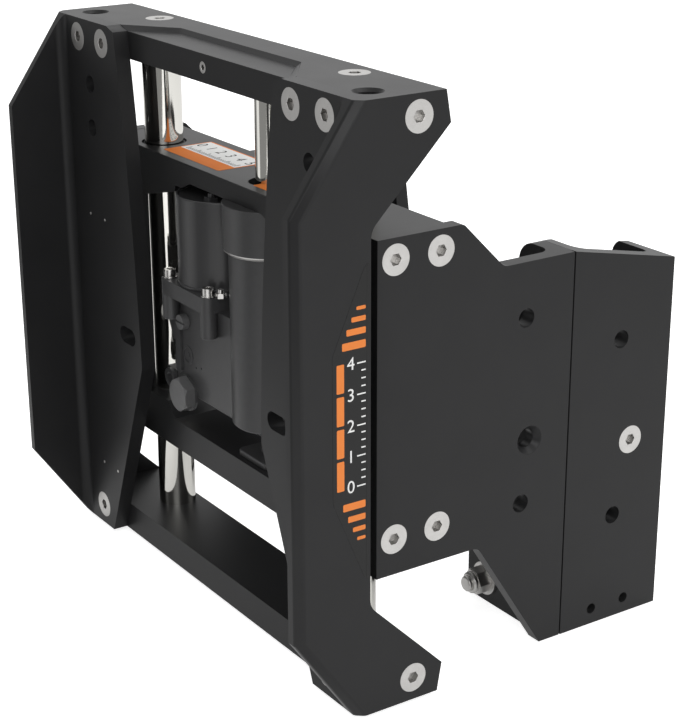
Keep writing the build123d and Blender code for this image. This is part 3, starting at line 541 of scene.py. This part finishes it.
class JackPlateColours(bpy.types.PropertyGroup):
    """Colours of the finishes"""

    anodised: bpy.props.FloatVectorProperty(
        name="Anodised", description="Black anodised plate",
        subtype="COLOR", size=3, min=0, max=1,
        default=(0.014, 0.014, 0.0145),
    )
    chrome: bpy.props.FloatVectorProperty(
        name="Chrome", description="Guide rods and ram rod",
        subtype="COLOR", size=3, min=0, max=1,
        default=(0.70, 0.69, 0.65),
    )
    stainless: bpy.props.FloatVectorProperty(
        name="Stainless", description="Screws, bolts, washers and nuts",
        subtype="COLOR", size=3, min=0, max=1,
        default=(0.55, 0.54, 0.525),
    )
    casting: bpy.props.FloatVectorProperty(
        name="Casting", description="Painted pump and ram castings",
        subtype="COLOR", size=3, min=0, max=1,
        default=(0.038, 0.038, 0.039),
    )
    plug: bpy.props.FloatVectorProperty(
        name="Plug", description="Plated plugs of the pump",
        subtype="COLOR", size=3, min=0, max=1,
        default=(0.095, 0.095, 0.096),
    )
    motor: bpy.props.FloatVectorProperty(
        name="Motor", description="Painted motor can",
        subtype="COLOR", size=3, min=0, max=1,
        default=(0.027, 0.027, 0.028),
    )
    bush: bpy.props.FloatVectorProperty(
        name="Bush", description="Bearing polymer",
        subtype="COLOR", size=3, min=0, max=1,
        default=(0.03, 0.03, 0.03),
    )
    seal: bpy.props.FloatVectorProperty(
        name="Seal", description="Wiper rubber",
        subtype="COLOR", size=3, min=0, max=1,
        default=(0.012, 0.012, 0.012),
    )
    sticker_orange: bpy.props.FloatVectorProperty(
        name="Sticker Orange", description="Orange print",
        subtype="COLOR", size=3, min=0, max=1,
        default=(0.78, 0.22, 0.04),
    )
    sticker_white: bpy.props.FloatVectorProperty(
        name="Sticker White", description="White print",
        subtype="COLOR", size=3, min=0, max=1,
        default=(0.8, 0.8, 0.79),
    )
    sticker_black: bpy.props.FloatVectorProperty(
        name="Sticker Black", description="Black film",
        subtype="COLOR", size=3, min=0, max=1,
        default=(0.006, 0.006, 0.006),
    )


class JackPlateEdges(bpy.types.PropertyGroup):
    """Widths of the broken edges"""

    plate: bpy.props.FloatProperty(
        name="Plate Edge", description="Break on machined plates",
        unit="LENGTH", subtype="DISTANCE",
        default=0.55 * MM, min=0.0,
    )
    blend: bpy.props.FloatProperty(
        name="Member Blend", description="Round where a bevel meets a face of the side members",
        unit="LENGTH", subtype="DISTANCE", default=1.5 * MM, min=0.0,
    )
    casting: bpy.props.FloatProperty(
        name="Casting Edge", description="Round on castings",
        unit="LENGTH", subtype="DISTANCE",
        default=1.0 * MM, min=0.0,
    )
    fastener: bpy.props.FloatProperty(
        name="Fastener Edge", description="Break on screws and nuts",
        unit="LENGTH", subtype="DISTANCE",
        default=0.3 * MM, min=0.0,
    )
    film: bpy.props.FloatProperty(
        name="Sticker Film", description="Thickness of the sticker films",
        unit="LENGTH", subtype="DISTANCE",
        default=0.12 * MM, min=0.0,
    )
    ink: bpy.props.FloatProperty(
        name="Sticker Ink", description="Thickness of the prints on the films",
        unit="LENGTH", subtype="DISTANCE",
        default=0.03 * MM, min=0.0,
    )


class JackPlateStudio(bpy.types.PropertyGroup):
    """Camera and light"""

    key_power: bpy.props.FloatProperty(
        name="Key Light", description="Watts of the softbox beside the camera",
        unit="POWER", default=10.0, min=0.0,
    )
    front_power: bpy.props.FloatProperty(
        name="Front Light", description="Watts of the softbox in front",
        unit="POWER", default=0.8, min=0.0,
    )
    low_power: bpy.props.FloatProperty(
        name="Low Light", description="Watts of the small softbox low in front",
        unit="POWER", default=0.8, min=0.0,
    )
    camera_place: bpy.props.FloatVectorProperty(
        name="Camera Place", description="Where the camera stands",
        subtype="TRANSLATION", unit="LENGTH", size=3,
        default=(1.1434, -0.9366, 0.4622),
    )
    camera_turn: bpy.props.FloatVectorProperty(
        name="Camera Turn", description="How the camera is turned",
        subtype="EULER", size=3,
        default=(math.radians(69.90), math.radians(0.22), math.radians(56.12)),
    )
    camera_lens: bpy.props.FloatProperty(
        name="Lens", description="Focal length in millimetres on a 36 mm wide sensor",
        default=94.47, min=10.0,
    )
    floor_lift: bpy.props.FloatProperty(
        name="Floor Lift", description="White that the camera sees on the floor beyond its light",
        default=0.8, min=0.0,
    )
    ambient: bpy.props.FloatProperty(
        name="Ambient", description="Level of the surrounding light on the dark front side",
        default=0.08, min=0.0,
    )
    backdrop: bpy.props.FloatProperty(
        name="Backdrop", description="Level of the surrounding light on the bright back side",
        default=0.9, min=0.0,
    )
    flag: bpy.props.FloatProperty(
        name="Flag", description="Level that metal reflects of the dark front side",
        default=0.3, min=0.0,
    )
    top_power: bpy.props.FloatProperty(
        name="Top Light", description="Watts of the softbox above",
        unit="POWER", default=15.0, min=0.0,
    )
    side_power: bpy.props.FloatProperty(
        name="Side Light", description="Watts of the softbox at starboard",
        unit="POWER", default=5.0, min=0.0,
    )


class JACKPLATE_OT_plates(bpy.types.Operator):
    """Finish the machined plates, blocks and beams in black anodising"""

    bl_idname = "jackplate.plates"
    bl_label = "Plates"

    def execute(self, context):
        material = anodised_finish(context.scene.jack_plate_colours)
        edges = context.scene.jack_plate_edges
        finish_nodes(MEMBER_NODES, edges.plate, material, blend=edges.blend)
        finish_nodes(PLATE_NODES, edges.plate, material)
        return {"FINISHED"}


class JACKPLATE_OT_rods(bpy.types.Operator):
    """Polish the guide rods and the ram rod"""

    bl_idname = "jackplate.rods"
    bl_label = "Rods"

    def execute(self, context):
        material = chrome_finish(context.scene.jack_plate_colours)
        finish_nodes(ROD_NODES, 0.0, material)
        return {"FINISHED"}


class JACKPLATE_OT_fasteners(bpy.types.Operator):
    """Finish the screws, bolts, washers, nuts and pins in stainless steel"""

    bl_idname = "jackplate.fasteners"
    bl_label = "Fasteners"

    def execute(self, context):
        colours = context.scene.jack_plate_colours
        width = context.scene.jack_plate_edges.fastener
        finish_nodes(SCREW_NODES + JOINT_NODES, width, stainless_finish(colours))
        # The sockets' steel is darkened as painted shade in the recesses
        socket = stainless_finish(colours, "socket_steel", shade=SOCKET_PAINTED_SHADE)
        for node in SCREW_NODES:
            darken_sockets(bpy.data.objects[node + "_finished"], socket)
        polished = stainless_finish(colours, "polished_stainless", gloss=POLISH)
        finish_nodes(CAP_NODES, width, polished, segments=3)
        return {"FINISHED"}


class JACKPLATE_OT_hydraulics(bpy.types.Operator):
    """Paint the motor can, the pump housing and the ram"""

    bl_idname = "jackplate.hydraulics"
    bl_label = "Hydraulics"

    def execute(self, context):
        colours = context.scene.jack_plate_colours
        width = context.scene.jack_plate_edges.casting
        paint = casting_finish("cast_paint", colours.casting)
        finish_nodes(CASTING_NODES, width, paint, segments=3)
        # Lighter paint on the downward-slanting edges is a painted highlight, standing in for the bright
        # floor they reflect
        painted_highlight = casting_finish("rubbed_paint", tuple(DOWNWARD_HIGHLIGHT * level for level in colours.casting))
        for node in ("pump_housing", "ram_tube"):
            self.edge_material(node, painted_highlight)
        finish_nodes(PLUG_NODES, 0.5 * width, casting_finish("plug_plating", colours.plug))
        motor = motor_finish(colours)
        finish_nodes(("motor_can", "motor_terminals"), 0.7 * width, motor, segments=3)
        finish_nodes(("ram_piston",), 0.0, stainless_finish(colours, "ground_steel"))
        # Bright steel on the ram head's downward-facing lower rim is a painted highlight
        self.edge_material("ram_head", stainless_finish(colours, "machined_rim"), RIM_BAND * MM)
        return {"FINISHED"}

    @staticmethod
    def edge_material(node, material, band=math.inf):
        """Give the faces that slant downwards, up to a height above the lowest point, a brighter finish
        as a painted highlight
        """
        piece = bpy.data.objects[node + "_finished"]
        piece.data.materials.append(material)
        bottom = min(vertex.co.z for vertex in piece.data.vertices)
        for face in piece.data.polygons:
            level = face.center.z - bottom
            if level < band and -SLANT_MOST < face.normal.z < -SLANT_LEAST:
                face.material_index = 1


class JACKPLATE_OT_seals(bpy.types.Operator):
    """Finish the guide bushes and the wiper rings"""

    bl_idname = "jackplate.seals"
    bl_label = "Bushes and Wipers"

    def execute(self, context):
        colours = context.scene.jack_plate_colours
        width = context.scene.jack_plate_edges.fastener
        finish_nodes(BUSH_NODES, width, bush_finish(colours))
        finish_nodes(SEAL_NODES, width, seal_finish(colours))
        return {"FINISHED"}


def add_print(sheet, outline, low, high, corner=0.0):
    """Add one flat shape to a print: its outline in the plane, raised from low to high"""
    shape = bmesh.new()
    verts = [shape.verts.new((u * MM, v * MM, low)) for u, v in outline]
    shape.faces.new(verts)
    if corner:
        bmesh.ops.bevel(
            shape, geom=verts, offset=corner * MM, offset_type="OFFSET", segments=4, profile=0.5,
            affect="VERTICES", material=-1,
        )
    raised = bmesh.ops.extrude_face_region(shape, geom=list(shape.faces), use_keep_orig=True)
    top = [part for part in raised["geom"] if isinstance(part, bmesh.types.BMVert)]
    bmesh.ops.translate(shape, verts=top, vec=(0.0, 0.0, high - low))
    join_shape(sheet, shape)


def add_number(sheet, text, size, middle, low, high):
    """Add a plain number to a print, centred on a point of the plane"""
    curve = bpy.data.curves.new("number", "FONT")
    curve.body = text
    curve.size = size * MM
    curve.extrude = (high - low) / 2
    curve.align_x = "CENTER"
    curve.align_y = "CENTER"
    holder = bpy.data.objects.new("number", curve)
    glyphs = bpy.data.meshes.new_from_object(holder)
    glyphs.transform(Matrix.Translation((middle[0] * MM, middle[1] * MM, (low + high) / 2)))
    sheet.from_mesh(glyphs)
    bpy.data.objects.remove(holder)
    bpy.data.curves.remove(curve)
    bpy.data.meshes.remove(glyphs)


def join_shape(sheet, shape):
    """Move a shape's faces into a print"""
    carried = bpy.data.meshes.new("shape")
    shape.to_mesh(carried)
    shape.free()
    sheet.from_mesh(carried)
    bpy.data.meshes.remove(carried)


def bar(left, bottom, right, top):
    """Corners of an upright rectangle"""
    return (left, bottom), (right, bottom), (right, top), (left, top)


def lay_print(name, sheet, place, body, material):
    """Turn a print onto its carrier, close it and let it ride there"""
    bmesh.ops.remove_doubles(sheet, verts=sheet.verts, dist=PRINT_MERGE)
    bmesh.ops.transform(sheet, matrix=place, verts=sheet.verts)
    bmesh.ops.recalc_face_normals(sheet, faces=sheet.faces)
    mesh = bpy.data.meshes.new(name)
    sheet.to_mesh(mesh)
    sheet.free()
    mesh.materials.append(material)
    piece = bpy.data.objects.new(name, mesh)
    bpy.context.scene.collection.objects.link(piece)
    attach(piece, body)


def plane_place(origin, right, up):
    """Matrix that lays a print's plane on a face, given its origin and two directions"""
    out = Vector(right).cross(Vector(up))
    columns = Matrix((right, up, out)).transposed()
    return Matrix.Translation(Vector(origin) * MM) @ columns.to_4x4()


class JACKPLATE_OT_wing_stickers(bpy.types.Operator):
    """Lay a plain height scale in orange and white on the outside of each wing"""

    bl_idname = "jackplate.wing_stickers"
    bl_label = "Wing Stickers"

    def execute(self, context):
        colours = context.scene.jack_plate_colours
        film = context.scene.jack_plate_edges.film
        print_top = film + context.scene.jack_plate_edges.ink
        black = sticker_finish("sticker_black", colours.sticker_black, roughness=0.22)
        orange = sticker_finish("sticker_orange", colours.sticker_orange, roughness=0.35)
        white = sticker_finish("sticker_white", colours.sticker_white, roughness=0.35)
        for side, hand in ((1, "starboard"), (-1, "port")):
            place = plane_place((side * WING_OUT, 0.0, 0.0), (0.0, side, 0.0), (0.0, 0.0, 1.0))

            sheet = bmesh.new()
            outline = [(side * u, v) for u, v in WING_FILM]
            add_print(sheet, outline, 0.0, film, WING_FILM_CORNER)
            lay_print(hand + "_wing_film", sheet, place, "lifting_frame", black)

            sheet = bmesh.new()
            for left, low, right, high in WING_BARS:
                edges = sorted((side * left, side * right))
                shape = bar(edges[0], low, edges[1], high)
                add_print(sheet, shape, film / 2, print_top, WING_BAR_CORNER)
            lay_print(hand + "_wing_bars", sheet, place, "lifting_frame", orange)

            sheet = bmesh.new()
            for step in range(WING_TICKS + 1):
                level = WING_ZERO + step * WING_STEP
                number, rest = divmod(step, WING_PER_NUMBER)
                length = SHORT_TICK if rest else WING_LONG_TICK
                edges = sorted((side * WING_TICK_EDGE, side * (WING_TICK_EDGE - length)))
                tick = bar(edges[0], level - TICK_HALF_WIDTH, edges[1], level + TICK_HALF_WIDTH)
                add_print(sheet, tick, film / 2, print_top)
                if not rest:
                    middle = (side * WING_NUMBER, level)
                    add_number(sheet, str(number), WING_NUMBER_SIZE, middle, film / 2, print_top)
            lay_print(hand + "_wing_scale", sheet, place, "lifting_frame", white)
        return {"FINISHED"}


class JACKPLATE_OT_block_stickers(bpy.types.Operator):
    """Lay two plain stickers on the top of the upper block"""

    bl_idname = "jackplate.block_stickers"
    bl_label = "Block Stickers"

    def execute(self, context):
        colours = context.scene.jack_plate_colours
        film = context.scene.jack_plate_edges.film
        ink = context.scene.jack_plate_edges.ink
        orange = sticker_finish("label_orange", colours.sticker_orange, roughness=0.6, gloss=0.1)
        white = sticker_finish("label_white", colours.sticker_white, roughness=0.6, gloss=0.1)
        black = sticker_finish("label_black", colours.sticker_black, roughness=0.6, gloss=0.1)
        place = plane_place((0.0, 0.0, BLOCK_TOP), (1.0, 0.0, 0.0), (0.0, 1.0, 0.0))

        sheet = bmesh.new()
        add_print(sheet, bar(*LABEL_FILM), 0.0, film, LABEL_FILM_CORNER)
        add_print(sheet, bar(*SMALL_LABEL), 0.0, film, SMALL_LABEL_CORNER)
        lay_print("block_label_film", sheet, place, "carriage", orange)

        sheet = bmesh.new()
        add_print(sheet, bar(*LABEL_PANEL), film / 2, film + ink, LABEL_PANEL_CORNER)
        lay_print("block_label_panel", sheet, place, "carriage", white)

        sheet = bmesh.new()
        base, top = film + ink / 2, film + 2 * ink
        for step in range(LABEL_TICKS + 1):
            across = LABEL_ZERO + step * LABEL_STEP
            number, rest = divmod(step, LABEL_PER_NUMBER)
            end = LABEL_TICK_EDGE + (SHORT_TICK if rest else LABEL_LONG_TICK)
            tick = bar(across - TICK_HALF_WIDTH, LABEL_TICK_EDGE, across + TICK_HALF_WIDTH, end)
            add_print(sheet, tick, base, top)
            if not rest:
                add_number(sheet, str(number), LABEL_NUMBER_SIZE, (across, LABEL_NUMBER), base, top)
        lay_print("block_label_scale", sheet, place, "carriage", black)
        return {"FINISHED"}


def floor_finish(lift):
    """Matt white floor that keeps its shadows, lifted towards white for the camera and in metal"""
    material, graph = new_finish("studio_floor")
    camera_ray = graph.node("ShaderNodeLightPath", output="Is Camera Ray")
    glossy_ray = graph.node("ShaderNodeLightPath", output="Is Glossy Ray")
    through_ray = graph.node("ShaderNodeLightPath", output="Is Transmission Ray")
    seen = camera_ray.max(through_ray).max(FLOOR_GLOSS * glossy_ray)
    paint = graph.node("ShaderNodeBsdfDiffuse", None, {"Color": rgba((FLOOR_GREY,) * 3)})
    glow = graph.node("ShaderNodeEmission", None, {"Color": rgba((1.0,) * 3), "Strength": lift * seen})
    both = graph.node("ShaderNodeAddShader", None, {0: paint, 1: glow})
    graph.node("ShaderNodeOutputMaterial", None, {"Surface": both})
    return material


def softbox(name, place, target, size, power):
    """A square area light that looks at a point"""
    light = bpy.data.lights.new(name, "AREA")
    light.shape = "SQUARE"
    light.size = size
    light.energy = power
    lamp = bpy.data.objects.new(name, light)
    lamp.location = place
    lamp.visible_camera = False
    lamp.rotation_euler = (Vector(target) - Vector(place)).to_track_quat("-Z", "Y").to_euler()
    bpy.context.scene.collection.objects.link(lamp)


def lay_floor(level, lift):
    """Lay the studio floor at a height, as a part of the stage"""
    mesh = bpy.data.meshes.new("studio_floor")
    ground = bmesh.new()
    ground.faces.new([ground.verts.new((x, y, level)) for x, y in FLOOR_OUTLINE])
    ground.to_mesh(mesh)
    ground.free()
    floor = bpy.data.objects.new("studio_floor", mesh)
    mesh.materials.append(floor_finish(lift))
    bpy.context.scene.collection.objects.link(floor)
    floor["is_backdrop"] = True


def light_world(studio):
    """Surround the object with light, dark in front, and show the camera white"""
    world = bpy.data.worlds.new("studio_world")
    world.use_nodes = True
    graph = Graph(world.node_tree)
    camera_ray = graph.node("ShaderNodeLightPath", output="Is Camera Ray")
    glossy_ray = graph.node("ShaderNodeLightPath", output="Is Glossy Ray")
    through_ray = graph.node("ShaderNodeLightPath", output="Is Transmission Ray")
    toward = graph.node("ShaderNodeTexCoord", output="Generated")
    ahead = graph.node("ShaderNodeSeparateXYZ", None, {"Vector": toward}, output="Y")
    upward = graph.node("ShaderNodeSeparateXYZ", None, {"Vector": toward}, output="Z")
    open_side = graph.node(
        "ShaderNodeMapRange",
        {"interpolation_type": "SMOOTHSTEP"},
        {
            "Value": ahead + SKY_RISE * upward,
            "From Min": SKY_DARK,
            "From Max": SKY_BRIGHT,
            "To Min": 0.0,
            "To Max": 1.0,
        },
    )
    soft = studio.ambient + (studio.backdrop - studio.ambient) * open_side
    shown = studio.flag + (1.0 - studio.flag) * open_side
    level = camera_ray.max(through_ray).max(glossy_ray * shown).max(soft * (1.0 - glossy_ray))
    sky = graph.node("ShaderNodeBackground", None, {"Color": rgba((1.0,) * 3), "Strength": level})
    graph.node("ShaderNodeOutputWorld", None, {"Surface": sky})
    return world


def add_camera(studio):
    """The camera at the photo's angle"""
    lens = bpy.data.cameras.new("studio_camera")
    lens.sensor_fit = "HORIZONTAL"
    lens.sensor_width = SENSOR
    lens.lens = studio.camera_lens
    lens.clip_start = NEAR
    lens.clip_end = FAR
    camera = bpy.data.objects.new("studio_camera", lens)
    camera.location = studio.camera_place
    camera.rotation_euler = studio.camera_turn
    bpy.context.scene.collection.objects.link(camera)
    return camera


class JACKPLATE_OT_studio(bpy.types.Operator):
    """Set the floor, the surrounding light, the lamps and the camera"""

    bl_idname = "jackplate.studio"
    bl_label = "Studio"

    def execute(self, context):
        scene = context.scene
        studio = scene.jack_plate_studio
        low, high = CAD_BOX
        lay_floor(low.z - FLOOR_GAP * MM, studio.floor_lift)
        scene.world = light_world(studio)
        for name, place, size, power in LAMPS:
            softbox(name, place, (low + high) / 2, size, getattr(studio, power))
        scene.camera = add_camera(studio)
        scene.view_settings.view_transform = "Standard"
        return {"FINISHED"}


class JACKPLATE_PT_panel(bpy.types.Panel):
    """Lists the steps that finish the jack plate"""

    bl_label = "Jack Plate"
    bl_idname = "JACKPLATE_PT_panel"
    bl_space_type = "VIEW_3D"
    bl_region_type = "UI"
    bl_category = "Jack Plate"

    def draw(self, context):
        layout = self.layout
        for holder in GROUPS:
            group = getattr(context.scene, holder)
            box = layout.box()
            for name in group.__annotations__:
                box.prop(group, name)
        for step in STEPS:
            layout.operator(step.bl_idname)


STEPS = (
    JACKPLATE_OT_plates,
    JACKPLATE_OT_rods,
    JACKPLATE_OT_fasteners,
    JACKPLATE_OT_hydraulics,
    JACKPLATE_OT_seals,
    JACKPLATE_OT_wing_stickers,
    JACKPLATE_OT_block_stickers,
    JACKPLATE_OT_studio,
)
GROUPS = {
    "jack_plate_colours": JackPlateColours,
    "jack_plate_edges": JackPlateEdges,
    "jack_plate_studio": JackPlateStudio,
}


def register():
    """Add the settings, the steps and the panel"""
    for name, group in GROUPS.items():
        bpy.utils.register_class(group)
        setattr(bpy.types.Scene, name, bpy.props.PointerProperty(type=group))
    for step in STEPS:
        bpy.utils.register_class(step)
    bpy.utils.register_class(JACKPLATE_PT_panel)


def unregister():
    """Take the panel, the steps and the settings away"""
    bpy.utils.unregister_class(JACKPLATE_PT_panel)
    for step in reversed(STEPS):
        bpy.utils.unregister_class(step)
    for name, group in GROUPS.items():
        delattr(bpy.types.Scene, name)
        bpy.utils.unregister_class(group)


def main():
    """Finish the jack plate step by step"""
    register()
    bpy.ops.jackplate.plates()
    bpy.ops.jackplate.rods()
    bpy.ops.jackplate.fasteners()
    bpy.ops.jackplate.hydraulics()
    bpy.ops.jackplate.seals()
    bpy.ops.jackplate.wing_stickers()
    bpy.ops.jackplate.block_stickers()
    bpy.ops.jackplate.studio()
    sizes = {"cad_box": CAD_BOX, "visual_box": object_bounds()}
    {name: [list(corner) for corner in box] for name, box in sizes.items()}


if __name__ == "__main__":
    main()
